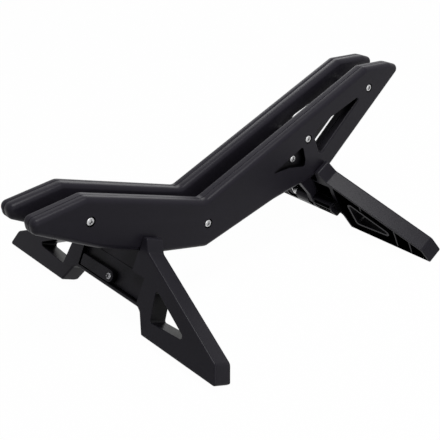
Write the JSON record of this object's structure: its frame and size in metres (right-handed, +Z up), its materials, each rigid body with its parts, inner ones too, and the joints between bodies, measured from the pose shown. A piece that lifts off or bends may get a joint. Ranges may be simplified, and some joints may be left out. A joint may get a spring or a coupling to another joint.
{
  "type": "floor bike stand",
  "caption": "Low V-shaped bicycle wheel stand of hollow moulded rails bolted side by side with a tyre slot between, on folding triangular leg frames.",
  "frame": {"origin": "on the floor under the middle of the stand, with its legs opened", "axes": "+X along the rails towards the longer, higher arm, +Y across the stand to the far rail, +Z up from the floor"},
  "size_m": [0.5978, 0.4018, 0.2108],
  "materials": {
    "rail_plastic": "fine moulded texture",
    "leg_plastic": "fine moulded texture",
    "cover_plastic": "fine moulded texture",
    "spacer_steel": "zinc plated",
    "screw_steel": "zinc plated",
    "hub_screw_steel": "zinc plated",
    "rod_steel": "plain ground rod",
    "spring_steel": "bright spring wire",
    "insert_brass": "turned"
  },
  "bodies": {
    "rails": {"near_rail_outer_shell": "rail_plastic", "near_rail_inner_shell": "rail_plastic", "far_rail_outer_shell": "rail_plastic", "far_rail_inner_shell": "rail_plastic", "left_end_spacer": "spacer_steel", "valley_spacer": "spacer_steel", "brace_spacer": "spacer_steel", "right_end_spacer": "spacer_steel", "pocket_spacer": "spacer_steel", "near_left_end_screw": "screw_steel", "near_valley_screw": "screw_steel", "near_brace_screw": "screw_steel", "near_right_end_screw": "screw_steel", "near_pocket_screw": "screw_steel", "far_left_end_screw": "screw_steel", "far_valley_screw": "screw_steel", "far_brace_screw": "screw_steel", "far_right_end_screw": "screw_steel", "far_pocket_screw": "screw_steel"},
    "left_leg": {"left_leg_frame": "leg_plastic", "left_hub_cover": "cover_plastic", "left_hub_screw": "hub_screw_steel", "left_hub_insert": "insert_brass", "left_hinge_rod": "rod_steel", "left_leg_spring": "spring_steel"},
    "right_leg": {"right_leg_frame": "leg_plastic", "right_hub_cover": "cover_plastic", "right_hub_screw": "hub_screw_steel", "right_hub_insert": "insert_brass", "right_hinge_rod": "rod_steel", "right_leg_spring": "spring_steel"}
  },
  "joints": [
    {"name": "left_leg_fold", "type": "hinge", "parent": "rails", "child": "left_leg", "pos_m": [-0.16215, 0, 0.03707], "axis": [0, -1, 0], "range_deg": [0, 113]},
    {"name": "right_leg_fold", "type": "hinge", "parent": "rails", "child": "right_leg", "pos_m": [0.14985, 0, 0.0358], "axis": [0, 1, 0], "range_deg": [0, 113]}
  ]
}
